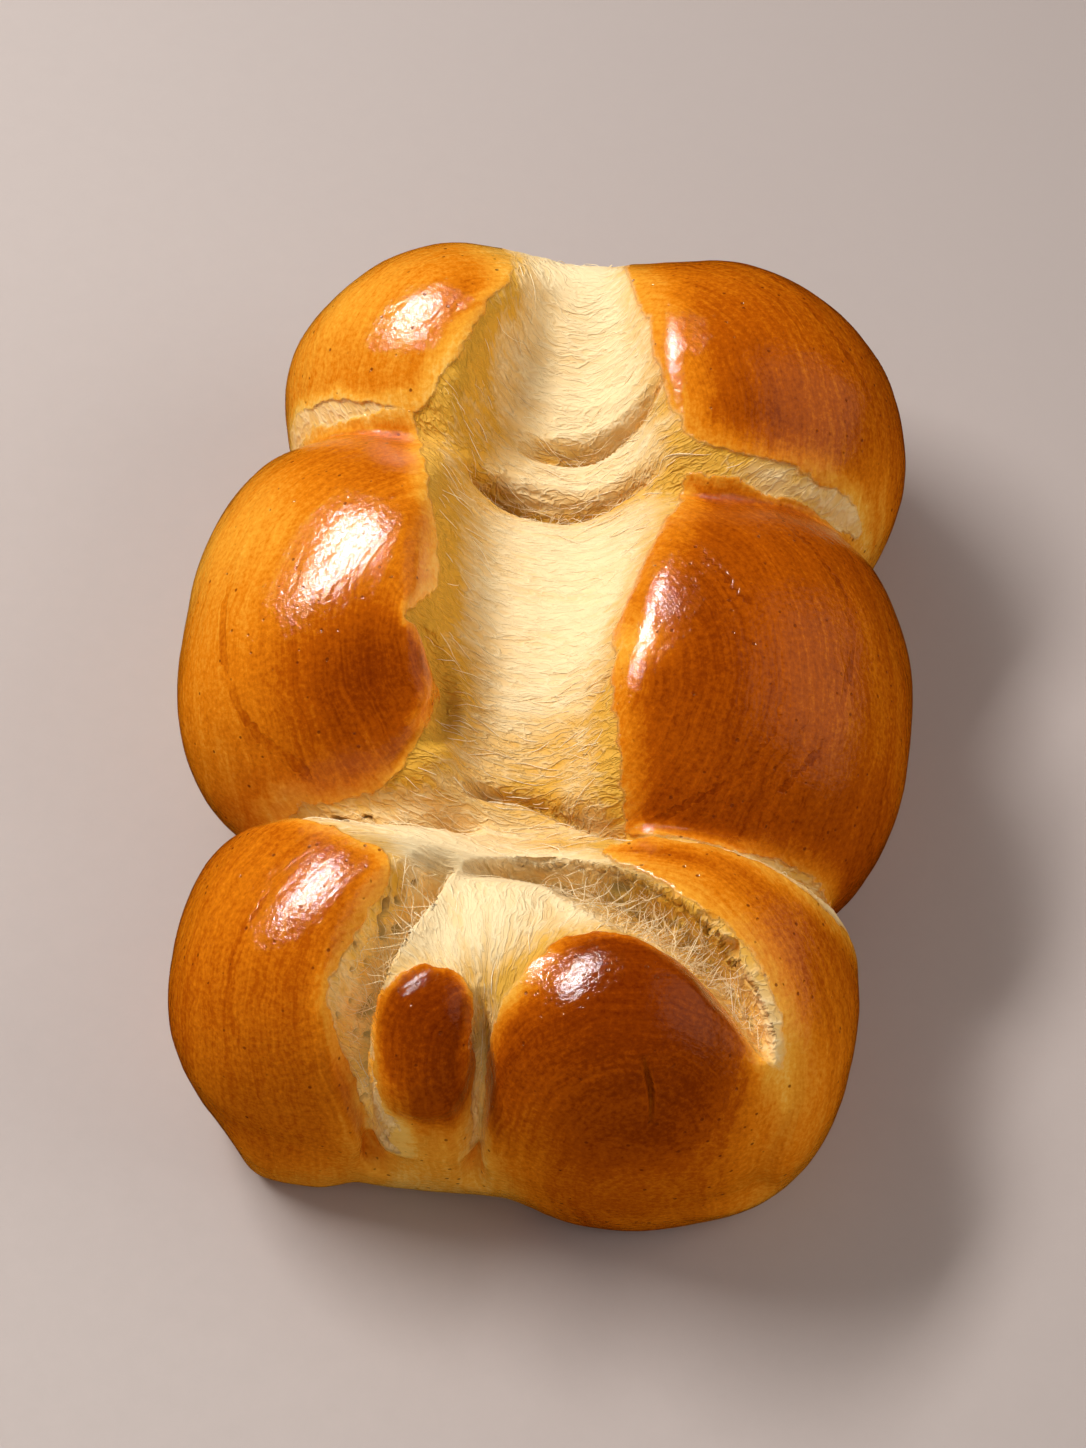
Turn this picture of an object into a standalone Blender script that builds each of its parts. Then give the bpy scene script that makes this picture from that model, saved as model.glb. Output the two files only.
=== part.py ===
"""A pull-apart milk loaf: three rolls of dough baked side by side, torn open along the middle.

The loaf lies along Y on its flat base, with its front roll towards -Y and Z up. The drawing is in
millimetres; the mesh is made in metres. Each roll is a pair of lobes, the front roll also winds round a
ball and a button of dough. The skin is the blended surface of the lobes, less the torn valley, the pockets
that open where sheets of crumb have pulled apart, and the seams where the layers of dough meet.
"""

import math

import bpy
import numpy as np

MM = 0.001

# The point of the drawing that the middle of the loaf stands over.
MIDDLE = (-0.25, 3.18)

# Lobes: centre of the widest level, reach along X, along Y and upwards, and how full it is in plan and
# upright, where 2 is an ellipse and more is squarer.
LOBES = {
    "back_left": ((-29, 78, 35), (41, 39, 46), 1.8, 2.0),
    "back_right": ((31, 73, 35), (47, 46, 47.5), 1.9, 2.0),
    "middle_left": ((-33, 11, 35), (50.5, 51, 48), 2.7, 2.0),
    "middle_right": ((34, 2, 35), (49, 52, 47), 2.4, 2.0),
    "front_left": ((-33, -70, 33), (40, 38, 42), 2.4, 2.0),
    "front_right": ((34, -70, 33), (41, 42, 39), 2.4, 2.0),
    "front_sole": ((5, -73, 26), (56, 34.5, 34), 2.8, 2.0),
    "ball": ((25, -85.5, 32), (33, 27, 46), 2.2, 2.2),
    "dome": ((-2, -74, 34), (26, 25, 37), 2.2, 2.2),
    "button": ((-14, -91, 55), (11, 17, 13), 2.5, 2.3),
    "front_corner": ((-44, -94, 14), (11, 12, 15), 3.5, 2.0),
}
LEANS = {"button": 46}  # degrees that a lobe leans towards the front
UNDERSIDE = 60  # how far down a lobe would close, were it not flat where it rests
SOLE_ROUND = 6  # how softly the sides turn into the flat base

# The torn valley, from the back to the front: y, middle x, half width, height of its floor.
VALLEY = (
    (125, 3, 15, 75),
    (100, 2, 15, 72),
    (72, -2, 22, 60),
    (48, -2, 29, 53),
    (30, -1, 29, 57),
    (0, -4, 25, 57),
    (-28, -2, 24, 54),
    (-48, 0, 24, 52),
)
RIM = 84  # height at which the valley meets its two rims
VALLEY_END = (-46, -56)  # it runs out between these, above the front roll

# Pockets: x, y, width and depth along the lip, which is sharp; the pocket lies on the left of the run.
POCKETS = {
    "recess": (
        (-23, 47, 3, 0), (-20, 43, 7, 6), (-13, 40, 9, 10), (-3, 38.5, 10, 11), (6, 39.5, 8, 8),
        (14, 42, 6, 5), (23, 45, 3, 0),
    ),
    "small_recess": (
        (-12, 56, 3, 0), (-4, 55, 5, 3), (5, 55, 6, 6), (12, 57, 5, 6), (18, 60, 4, 3), (22, 64, 3, 0),
    ),
    "left_crescent": (
        (-22, -107, 5, 0), (-25, -101, 8, 6), (-25, -92, 11, 10), (-22, -80, 13, 12), (-17, -69, 12, 11),
        (-14, -61, 8, 6), (-11, -55, 4, 0),
    ),
    "right_crescent": (
        (57, -92, 4, 0), (55, -85, 7, 8), (50, -77, 11, 12), (42, -68, 14, 14), (30, -60, 14, 14),
        (18, -54, 11, 11), (8, -51, 8, 8), (-4, -52, 6, 5), (-14, -58, 3, 0),
    ),
    "left_rim": (
        (-26, 4, 3, 0), (-29, -3, 6, 1.5), (-25, -9, 6, 2), (-22, -15, 6, 2.5), (-24, -23, 7, 2),
        (-29, -29, 4, 1), (-33, -33, 3, 0),
    ),
}
LIP = 2.4  # width over which a lip drops

# Seams: x, y, half width and depth along the middle of the groove.
SEAMS = {
    "cleft": (
        (-4, -85, 2, 0), (-3, -91, 2.2, 5), (-2.5, -98, 2.6, 7), (-3.5, -105, 2.5, 5), (-5, -111, 2.5, 2),
    ),
    "left_split": (
        (-84, -45, 4, 2), (-66, -41, 4.5, 5), (-48, -42, 4.5, 7), (-32, -43, 4.5, 7), (-18, -42, 3.5, 5),
        (-8, -41, 3, 0),
    ),
    "right_split": ((26, -43, 1.5, 0), (42, -44, 2, 2), (60, -45, 3, 4), (76, -48, 3, 3)),
    "fold": (
        (-14, -33, 1.5, 0), (-8, -32, 1.6, 3), (2, -33, 1.6, 4), (12, -38, 1.6, 4), (22, -43, 1.6, 3),
        (28, -44, 1.5, 0),
    ),
    "under_ball": (
        (62, -84, 3, 0), (60, -97, 3, 2), (53, -108, 3, 3), (40, -114, 3, 3), (24, -117, 3, 2), (12, -114, 3, 0),
    ),
    "under_button": ((-26, -103, 2, 2), (-21, -109, 2.5, 4), (-14, -112, 2.5, 3), (-7, -111, 2, 1)),
}
RELIEF_FOOT = (12, 26)  # pockets and seams fade out between these heights

# The skin is found on a grid of this step that fills a box around the loaf.
STEP = 1.5
BOX = ((-90, 90), (-126, 129), (-6, 90))
FLAT = 0.05  # points this close to the floor are put on it
TRIANGLES = 11600

CRUST = {"name": "baked_dough", "colour": (0.55, 0.16, 0.012, 1), "roughness": 0.35}


def ease(t):
    t = np.clip(t, 0, 1)
    return t * t * (3 - 2 * t)


def join(a, b, soft):
    """The union of two distances, with a fillet of about this size."""
    t = np.clip(0.5 + 0.5 * (b - a) / soft, 0, 1)
    return b + (a - b) * t - soft * t * (1 - t)


def common(a, b, soft):
    return -join(-a, -b, soft)


def lobe(p, name):
    """How far p lies outside a lobe, measured from the lobe's centre."""
    centre, reach, in_plan, upright = LOBES[name]
    x, y, z = (p - np.array(centre)).T
    lean = np.radians(LEANS.get(name, 0))
    y, z = y * np.cos(lean) + z * np.sin(lean), z * np.cos(lean) - y * np.sin(lean)
    plan = (np.abs(x / reach[0]) ** in_plan + np.abs(y / reach[1]) ** in_plan) ** (upright / in_plan)
    share = (plan + np.abs(z / np.where(z > 0, reach[2], UNDERSIDE)) ** upright) ** (1 / upright) + 1e-6
    return np.sqrt(x * x + y * y + z * z) * (1 - 1 / share)


def smooth_line(points, steps=8):
    """A Catmull-Rom curve through the rows of points, all their columns together."""
    rows = np.array(points, float)
    rows = np.vstack([2 * rows[0] - rows[1], rows, 2 * rows[-1] - rows[-2]])
    found = []
    for a, b, c, d in zip(rows, rows[1:], rows[2:], rows[3:]):
        for t in np.arange(steps) / steps:
            found.append(b + 0.5 * t * (c - a + t * (2 * a - 5 * b + 4 * c - d + t * (3 * (b - c) + d - a))))
    return np.array(found + [rows[-2]])


def beside(xy, line):
    """How far each point lies from a line in plan, positive on its left, and its other columns there."""
    near = np.full(len(xy), np.inf)
    side = np.ones(len(xy))
    columns = np.zeros((len(xy), line.shape[1] - 2))
    for a, b in zip(line, line[1:]):
        run = b[:2] - a[:2]
        out = xy - a[:2]
        t = np.clip(out @ run / (run @ run), 0, 1)
        away = np.linalg.norm(out - t[:, None] * run, axis=1)
        nearer = away < near
        near[nearer] = away[nearer]
        side[nearer] = np.where(run[0] * out[nearer, 1] >= run[1] * out[nearer, 0], 1, -1)
        columns[nearer] = a[2:] + t[nearer, None] * (b[2:] - a[2:])
    return near * side, columns


def pocket_depth(away, width, depth):
    return depth * ease(away / LIP + 0.5) * (1 - ease((away - LIP) / width))


def seam_depth(away, width, depth):
    return depth * np.exp(-((away / width) ** 2))


def relief(p, drawn, depth_of):
    """The depth that a set of pockets or seams takes off the skin at p."""
    total = np.zeros(len(p))
    foot = ease((p[:, 2] - RELIEF_FOOT[0]) / (RELIEF_FOOT[1] - RELIEF_FOOT[0]))
    for points in drawn.values():
        line = smooth_line(points)
        margin = 3 * line[:, 2].max()
        inside = (p[:, :2] > line[:, :2].min(0) - margin) & (p[:, :2] < line[:, :2].max(0) + margin)
        close = np.flatnonzero(inside.all(1))
        away, columns = beside(p[close, :2], line)
        total[close] += depth_of(away, np.maximum(columns[:, 0], 0.5), np.maximum(columns[:, 1], 0))
    return total * foot


def above_valley(p):
    """How far p lies above the torn valley, which has a steep left side and a gentler right one."""
    line = smooth_line(VALLEY)[::-1]
    middle, half, floor = (np.interp(p[:, 1], line[:, 0], line[:, column]) for column in (1, 2, 3))
    across = (p[:, 0] - middle) / half
    rise = np.abs(across) ** np.where(across < 0, 3.0, 2.2)
    steepness = np.minimum(1 + 2.5 * (RIM - floor) / half * np.abs(across) ** 1.5, 3)
    ended = ease((VALLEY_END[0] - p[:, 1]) / (VALLEY_END[0] - VALLEY_END[1]))
    return (p[:, 2] - floor - (RIM - floor) * rise) / steepness - RIM * ended


def outside(p):
    """About how far each point lies outside the loaf, in millimetres, and less than 0 inside it."""
    lobes = {name: lobe(p, name) for name in LOBES}
    back = join(lobes["back_left"], lobes["back_right"], 30)
    middle = join(lobes["middle_left"], lobes["middle_right"], 26)
    torn = common(join(back, middle, 3), above_valley(p), 4)
    front = join(lobes["front_left"], lobes["front_right"], 22)
    front = join(join(front, lobes["front_sole"], 8), lobes["front_corner"], 8)
    heart = join(join(lobes["ball"], lobes["dome"], 8), lobes["button"], 2.5)
    loaf = join(torn, join(front, heart, 3), 3)
    loaf = loaf + relief(p, POCKETS, pocket_depth) + relief(p, SEAMS, seam_depth)
    return common(loaf, -p[:, 2], SOLE_ROUND)


def fill_pinches(gap):
    """Fills the corners of the grid where two sheets of skin would touch along an edge."""
    steps = np.eye(3, dtype=int)
    pinched = [0]
    while len(pinched):
        pinched = []
        for side, other in ((0, 1), (1, 2), (2, 0)):
            near, far = np.roll(gap, -1, side) < 0, np.roll(gap, -1, other) < 0
            across = np.roll(gap, (-1, -1), (side, other)) < 0
            found = np.argwhere(((gap < 0) == across) & (near == far) & (near != across))
            for corner in (0, steps[side], steps[other], steps[side] + steps[other]):
                place = tuple((found + corner).T)
                gap[place] = np.minimum(gap[place], -FLAT)
            pinched.extend(found)


def crossings(gap, corners, axis):
    """Where the skin crosses the grid's edges along an axis: points, the cells around each, its side."""
    along, side, other = np.roll(np.eye(3, dtype=int), -axis, 0)
    low, high = (np.take(gap, range(first, gap.shape[axis] - 1 + first), axis) for first in (0, 1))
    found = np.argwhere((low < 0) != (high < 0))
    place = tuple(found.T)
    share = low[place] / (low[place] - high[place])
    points = corners[place] + STEP * share[:, None] * along
    cells = np.stack([found, found - side, found - side - other, found - other], 1)
    return points, cells, high[place] > 0


def skin():
    """The points and the four-sided faces of the loaf's skin, with one point in each cell that it crosses."""
    axes = [np.arange(low, high, STEP, dtype=float) for low, high in BOX]
    corners = np.stack(np.meshgrid(*axes, indexing="ij"), -1)
    gap = outside(corners.reshape(-1, 3)).reshape(corners.shape[:3])
    fill_pinches(gap)
    total = np.zeros(corners.shape)
    count = np.zeros(gap.shape)
    rings = []
    for axis in range(3):
        points, cells, leaving = crossings(gap, corners, axis)
        for cell in cells.transpose(1, 2, 0):
            np.add.at(total, tuple(cell), points)
            np.add.at(count, tuple(cell), 1)
        cells[~leaving] = cells[~leaving, ::-1]
        rings.append(cells)
    used = count > 0
    number = np.cumsum(used).reshape(used.shape) - 1
    faces = number[tuple(np.vstack(rings).reshape(-1, 3).T)].reshape(-1, 4)
    return total[used] / count[used, None], faces


def baked_dough():
    material = bpy.data.materials.new(CRUST["name"])
    material.use_nodes = True
    shader = material.node_tree.nodes["Principled BSDF"]
    shader.inputs["Base Color"].default_value = CRUST["colour"]
    shader.inputs["Roughness"].default_value = CRUST["roughness"]
    return material


def make_loaf():
    points, faces = skin()
    points = points - np.array((*MIDDLE, 0))
    points[points[:, 2] < FLAT, 2] = 0
    mesh = bpy.data.meshes.new("loaf")
    mesh.from_pydata((points * MM).tolist(), [], faces.tolist())
    mesh.materials.append(baked_dough())

    loaf = bpy.data.objects.new("loaf", mesh)
    bpy.context.scene.collection.objects.link(loaf)
    thin = loaf.modifiers.new("thin", "DECIMATE")
    thin.ratio = TRIANGLES / (2 * len(faces))
    mesh.shade_smooth()
    mesh.set_sharp_from_angle(angle=math.radians(50))
    return loaf


def clear_scene():
    for thing in list(bpy.data.objects):
        bpy.data.objects.remove(thing, do_unlink=True)


clear_scene()
make_loaf()
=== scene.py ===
"""The looks of a pull-apart milk loaf: glazed brown crust over domed rolls, torn open to its silky crumb.

The form is drawn in millimetres as in the part's source, with its middle put over the origin, and made in
metres. The skin of the loaf is one mesh. Its points carry how far they lie from the torn edges and creases
and how deeply they baked, and the material draws crust and crumb from that.
"""

import bmesh
import bpy
import numpy as np
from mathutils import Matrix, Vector


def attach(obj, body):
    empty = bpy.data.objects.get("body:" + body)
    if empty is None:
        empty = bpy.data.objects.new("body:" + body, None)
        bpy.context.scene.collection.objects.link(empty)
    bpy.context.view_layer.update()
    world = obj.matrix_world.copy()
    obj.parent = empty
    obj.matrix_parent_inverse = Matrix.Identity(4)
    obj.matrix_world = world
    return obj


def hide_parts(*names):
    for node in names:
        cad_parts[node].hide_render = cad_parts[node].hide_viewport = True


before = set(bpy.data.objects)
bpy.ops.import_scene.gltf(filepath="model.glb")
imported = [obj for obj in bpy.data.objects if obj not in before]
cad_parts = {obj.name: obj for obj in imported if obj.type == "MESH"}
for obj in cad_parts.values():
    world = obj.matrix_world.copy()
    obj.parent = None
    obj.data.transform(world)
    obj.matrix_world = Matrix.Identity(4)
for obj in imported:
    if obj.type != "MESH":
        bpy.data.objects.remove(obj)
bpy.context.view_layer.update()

MM = 0.001
MIDDLE = np.array((-0.25, 3.18, 0))  # the point of the drawing that stands over the origin

# Lobes: centre of the widest level, reach along X, along Y and upwards, and how full in plan and upright.
LOBES = {
    "back_left": ((-29, 78, 35), (41, 39, 46), 1.8, 2.0),
    "back_right": ((31, 73, 35), (47, 46, 47.5), 1.9, 2.0),
    "middle_left": ((-33, 11, 35), (50.5, 51, 48), 2.7, 2.0),
    "middle_right": ((34, 2, 35), (49, 52, 47), 2.4, 2.0),
    "front_left": ((-33, -70, 33), (40, 38, 42), 2.4, 2.0),
    "front_right": ((34, -70, 33), (41, 42, 39), 2.4, 2.0),
    "front_sole": ((5, -73, 26), (56, 34.5, 34), 2.8, 2.0),
    "ball": ((25, -85.5, 32), (33, 27, 46), 2.2, 2.2),
    "dome": ((-2, -74, 34), (26, 25, 37), 2.2, 2.2),
    "button": ((-14, -91, 55), (11, 17, 13), 2.5, 2.3),
    "front_corner": ((-44, -94, 14), (11, 12, 15), 3.5, 2.0),
}
LEANS = {"button": 46}  # degrees that a lobe leans towards the front
UNDERSIDE = 60
SOLE_ROUND = 6

# The torn valley, from the back to the front: y, middle x, half width, height of its floor.
VALLEY = (
    (125, 3, 15, 75),
    (100, 2, 15, 72),
    (72, -2, 22, 60),
    (48, -2, 29, 53),
    (30, -1, 29, 57),
    (0, -4, 25, 57),
    (-28, -2, 24, 54),
    (-48, 0, 24, 52),
)
RIM = 84
VALLEY_END = (-46, -56)
VALLEY_SIDES = (3.0, 2.2)  # how late its left and right sides rise
STEEPEST = 3

# Fillets between the two lobes of each roll, along the torn edge, and where one form runs into the next.
BACK_FILLET, MIDDLE_FILLET, FRONT_FILLET = 30, 26, 22
TORN_FILLET = 4
ROLL_FILLET = 3
BALL_FILLET = SOLE_FILLET = 8
BUTTON_FILLET = 2.5

# Pockets: x, y, width and depth along the lip; the pocket lies on the left of the run.
POCKETS = {
    "recess": (
        (-23, 47, 3, 0), (-20, 43, 7, 6), (-13, 40, 9, 10), (-3, 38.5, 10, 11), (6, 39.5, 8, 8),
        (14, 42, 6, 5), (23, 45, 3, 0),
    ),
    "small_recess": (
        (-12, 56, 3, 0), (-4, 55, 5, 3), (5, 55, 6, 6), (12, 57, 5, 6), (18, 60, 4, 3), (22, 64, 3, 0),
    ),
    "left_crescent": (
        (-22, -107, 5, 0), (-25, -101, 8, 6), (-25, -92, 11, 10), (-22, -80, 13, 12), (-17, -69, 12, 11),
        (-14, -61, 8, 6), (-11, -55, 4, 0),
    ),
    "right_crescent": (
        (57, -92, 4, 0), (55, -85, 7, 8), (50, -77, 11, 12), (42, -68, 14, 14), (30, -60, 14, 14),
        (18, -54, 11, 11), (8, -51, 8, 8), (-4, -52, 6, 5), (-14, -58, 3, 0),
    ),
    "left_rim": (
        (-26, 4, 3, 0), (-29, -3, 6, 1.5), (-25, -9, 6, 2), (-22, -15, 6, 2.5), (-24, -23, 7, 2),
        (-29, -29, 4, 1), (-33, -33, 3, 0),
    ),
}
LIP = 1.4

# Seams: x, y, half width and depth along the middle of the groove.
SEAMS = {
    "cleft": (
        (-4, -85, 2, 0), (-3, -91, 2.2, 5), (-2.5, -98, 2.6, 7), (-3.5, -105, 2.5, 5), (-5, -111, 2.5, 2),
    ),
    "left_split": (
        (-84, -45, 4, 2), (-66, -41, 4.5, 5), (-48, -42, 4.5, 7), (-32, -43, 4.5, 7), (-18, -42, 3.5, 5),
        (-8, -41, 3, 0),
    ),
    "right_split": ((26, -43, 1.5, 0), (42, -44, 2, 2), (60, -45, 3, 4), (76, -48, 3, 3)),
    "fold": (
        (-14, -33, 1.5, 0), (-8, -32, 1.6, 3), (2, -33, 1.6, 4), (12, -38, 1.6, 4), (22, -43, 1.6, 3),
        (28, -44, 1.5, 0),
    ),
    "under_ball": (
        (62, -84, 3, 0), (60, -97, 3, 2), (53, -108, 3, 3), (40, -114, 3, 3), (24, -117, 3, 2),
        (12, -114, 3, 0),
    ),
    "under_button": ((-26, -103, 2, 2), (-21, -109, 2.5, 4), (-14, -112, 2.5, 3), (-7, -111, 2, 1)),
}
RELIEF_FOOT = (12, 26)

# The torn crumb's edge, run round it as one closed line: x, y and the width over which the crust fades.
CRUMB_EDGE = {
    "back_left_rim": (
        (-20, 112, 4), (-18, 99, 4), (-16, 90, 3), (-19, 82, 2), (-24, 69, 2), (-31, 58, 2), (-34, 55, 2),
    ),
    "left_gap": (
        (-44, 57, 1), (-52, 59.5, 1), (-62, 63, 1), (-74, 68, 1.5), (-80, 67, 1.5), (-74, 65, 1),
        (-62, 60.5, 1), (-52, 57, 1), (-37, 54.5, 1),
    ),
    "middle_left_rim": (
        (-33, 49, 1.5), (-29, 32, 2), (-26, 20, 2), (-24, 10, 1.5), (-25, 4, 1.2), (-29, -4, 1),
        (-25, -8, 1), (-22, -13, 1), (-22, -18, 1), (-23, -24, 1), (-27, -31, 1),
    ),
    "left_split": (
        (-34, -35, 1), (-48, -36.5, 1), (-61, -37, 1), (-76, -41, 1), (-84, -44, 1), (-82, -47, 1),
        (-63, -44, 1), (-47, -49, 1.2), (-35, -54, 1.5),
    ),
    "left_crescent": (
        (-26, -60, 1.5), (-27, -68, 1.5), (-31, -77, 1.5), (-34, -88, 1.5), (-32, -96, 1.5),
        (-26, -102, 1),
    ),
    "front_tear": ((-23, -109, 1.5), (-20, -114, 1.5), (-16, -113, 1.5), (-18, -108, 1)),
    "button": (
        (-22, -105, 0.8), (-25.5, -98, 0.8), (-25, -90, 0.8), (-20, -84, 1), (-13, -82, 1), (-8, -83, 1),
        (-5.5, -90, 1), (-5, -98, 1), (-4.5, -105, 1), (-4, -109, 1),
    ),
    "ball": (
        (-3, -109, 1), (-2, -104, 1), (-1.5, -97, 1.2), (1, -88, 2), (7, -79, 2.2), (15, -73, 1.5),
        (24, -73, 1), (36, -77, 1), (47, -83, 1), (54, -90, 1.2),
    ),
    "right_crescent": (
        (58, -92, 3), (58, -84, 3), (52, -75, 3), (43, -66, 3), (30, -58, 2.5), (18, -50, 1.5),
    ),
    "right_split": (
        (28, -46, 1.2), (45, -46, 1.5), (60, -51, 2), (80, -56, 2), (82, -46, 2), (66, -42, 2),
        (45, -44, 1.2), (25, -43, 1.5),
    ),
    "middle_right_rim": ((21, -36, 2.5), (18, -24, 3), (16, -8, 3), (17, 2, 3), (22, 20, 4), (27, 40, 3)),
    "right_fold": (
        (29, 43.5, 1), (40, 44, 1), (52, 43.5, 1), (60, 44, 1.5), (68, 47.5, 1.5), (66, 49.5, 2),
        (58, 49, 2.5), (48, 48.5, 2.5), (38, 48.5, 2.5), (29, 50, 2.5),
    ),
    "back_right_rim": ((24, 55, 4), (20, 65, 4), (17, 75, 4), (12, 90, 4), (8, 100, 4), (7, 112, 4)),
}

# How deeply each lobe baked, and the middle of the swirl that its streaks run round.
BAKED = {
    "back_left": (0.50, (-10, 62)),
    "back_right": (0.74, (8, 54)),
    "middle_left": (0.52, (-12, -6)),
    "middle_right": (0.84, (4, -14)),
    "front_left": (0.66, (-14, -90)),
    "front_right": (0.66, (24, -90)),
    "front_sole": (0.54, (24, -90)),
    "ball": (1.06, (34, -136)),
    "dome": (0.45, (0, -92)),
    "button": (1.13, (-1, -100)),
    "front_corner": (0.55, (-14, -90)),
}

# Where the crust is painted darker or paler than its lobe's middle, mostly for baking, and at the front
# foot partly as painted light on dim faces: x, y, how far the patch reaches, and by how much.
BAKE_AND_LIGHT_PATCHES = (
    (-38, -18, 15, 0.42), (-26, -16, 10, 0.15), (-42, 42, 16, 0.05), (-76, 20, 22, -0.20),
    (-60, 84, 20, -0.22), (-22, 78, 10, 0.16), (44, 56, 10, 0.16), (74, 52, 9, -0.34),
    (78, -10, 16, -0.10), (50, -32, 16, 0.06), (22, -6, 7, -0.45), (36, -12, 14, 0.12),
    (-72, -70, 14, -0.08), (66, -104, 20, -0.20), (6, -114, 12, -0.45), (-20, -114, 12, -0.55),
    (30, -118, 12, -0.20), (-74, 84, 12, 0.12), (-40, 30, 18, 0.10), (8, -84, 9, -0.35),
    (78, 10, 24, -0.12), (36, 8, 16, 0.06), (-2, -84, 6, -0.3), (22, 100, 14, -0.05),
)

# Where the crumb is painted more golden, partly its own colour and partly painted shade on its shaded
# walls and in its hollows: x, y, reach along each, and how much.
GOLDEN_PATCHES = (
    (-25, 24, 9, 34, 1.1), (-20, -14, 10, 16, 1.2), (-26, 62, 11, 20, 1.2), (4, -34, 30, 8, 0.8),
    (14, -14, 9, 14, 0.3), (24, 36, 7, 16, 0.4), (-16, 92, 6, 14, 0.4), (34, 48, 26, 6, 0.35),
    (12, -45, 16, 4, 0.8), (-28, -62, 6, 8, 0.4), (46, -70, 12, 9, 0.4), (4, -22, 16, 9, 0.65),
    (0, 42, 24, 5, 1.1), (2, -84, 9, 6, 0.6), (2, 58, 20, 3, 0.6), (10, -76, 14, 8, 0.4),
    (34, -60, 30, 6, 0.4),
)

# Where the torn crumb has larger holes: x, y, reach along each, and how many.
HOLED_PATCHES = (
    (-24, -82, 7, 22, 1.0), (24, -56, 20, 7, 0.8), (46, -68, 10, 8, 0.5), (-46, -42, 32, 5, 1.0),
)

# Creases where the rolled layers of dough meet, drawn along their runs: x and y.
CREASES = {
    "middle_right_inner": (
        (34, 17), (41, 8), (48, 2), (52, -9), (52, -19), (47, -29), (37, -36), (27, -40),
    ),
    "middle_right_outer": ((48, 36), (54, 29), (63, 18), (67, 6), (66, -9), (62, -22), (54, -32)),
    "middle_left": ((-69, 10), (-70, 0), (-69, -9), (-65, -20), (-58, -28), (-48, -33)),
    "front_left": ((-50, -70), (-55, -80), (-55, -92), (-48, -104)),
    "back_right": ((42, 101), (54, 89), (62, 80), (68, 70)),
    "back_left": ((-41, 113), (-54, 100), (-61, 84), (-62, 70)),
}

# Slits and cracks: x, y, half width and depth along the run.
SLITS = {
    "ball_slit": ((30.5, -99, 0.3, 0), (32, -102, 0.7, 2.2), (33.2, -105, 0.6, 2.2), (33, -108, 0.3, 0)),
    "rim_crack": ((18, -4, 0.5, 0), (15, -10, 0.7, 1.0), (12, -13, 0.6, 0.7), (9, -16, 0.4, 0)),
    "crescent_mouth": ((-19, -58, 0.6, 0), (-15, -63, 1.0, 2.5), (-17, -69, 0.6, 0)),
}

STEP = 1.5  # the skin's grid
BAND = 9  # the grid is worked out where the coarse grid says that the skin is within this
COARSE = 3  # steps of the grid in one step of the coarse grid
BOX = ((-90, 90), (-126, 129), (-6, 90))
REFINED = ((2.5, 1.0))  # how far round the crumb each round of refining reaches
LOW_CRUMB = 30  # no torn crumb shows below this height
LOW_FADE = 10
HOLLOW_DEPTH = 8  # a pocket or seam this deep counts as a full hollow
SEAM_SHARE = 0.7  # a seam counts for less than a pocket as deep
LOBE_BLEND = 1.5  # one lobe's baking runs into the next lobe's over about this length
SIDE_HEIGHT, SIDE_PALER = 30, 0.22  # below this height the sides baked paler, by this much at the foot
FAR = 20  # distances to edges and creases are kept up to this
SEED = 5
FLAT = 0.05
SLANT = np.array((0.53, 0.62, 0.58))  # the way through the noise as the grain grows

LYING_STRANDS, HANGING_STRANDS = 850, 460
STRAND_LENGTHS = (3, 13)
STRAND_LIFTS = (0.1, 0.6)
STRAND_WANDER = 0.2
STRAND_THICKNESS = (0.05, 0.12)
STRANDS_INSIDE = (1.0, 0.8)  # how far inside the crumb's edge they start, and stay
STRAND_STEPS = 8
TUBE_SIDES = 4
SUNK = 0.12  # the ends of a lying strand lie this far under the skin
PAIRS_TRIED = 60
HANGING_SPANS = (2, 11)
HANGING_SAG = 1.2
HANGING_HOLLOW = 0.35  # how deep a hollow is, as a share, for strands to hang in it
HANGING_CLEAR = 0.3

# Random waves: how high each is, how long, and its seed.
EDGE_WAVES = ((0.9, 9, 22), (0.7, 3.2, 21), (0.35, 1.4, 23))
GRAIN_WAVES = ((1.3, 8, 11), (0.6, 3.5, 12))
CRUST_DENTS = ((0.5, 17, 4), (0.13, 6, 5), (0.03, 2.2, 9))

# Waves laid along the grain: how long each is along it and across it, and its seed.
FOLDS = (16, 5.0, 3)
FIBRES = (8, 2.0, 1)
THREADS = (5, 1.0, 2)
RIPPLES = (14, 1.7, 6)

# How far the crumb's waves, the crust's and its edges stand up, and how deep torn crumb and holes lie.
FOLD_HIGH, FIBRE_HIGH, THREAD_HIGH, TORN_THREAD_HIGH = 0.35, 0.15, 0.07, 0.3
TORN_DEEP, PIT_DEEP = 0.2, 1.5
RIPPLE_HIGH, EDGE_HIGH, CREASE_HIGH = 0.05, 0.6, 0.10
LEDGE_WIDE, CREASE_SHARP = 4, 0.9

# The middles of the bowl that the fibres run round at the back, and of the fan at the front.
BOWL = (1, 104)
FAN = (-1, -92)


def ease(t):
    t = np.clip(t, 0, 1)
    return t * t * (3 - 2 * t)


def join(a, b, soft):
    """The union of two distances, with a fillet of about this size."""
    t = np.clip(0.5 + 0.5 * (b - a) / soft, 0, 1)
    return b + (a - b) * t - soft * t * (1 - t)


def common(a, b, soft):
    return -join(-a, -b, soft)


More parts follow.
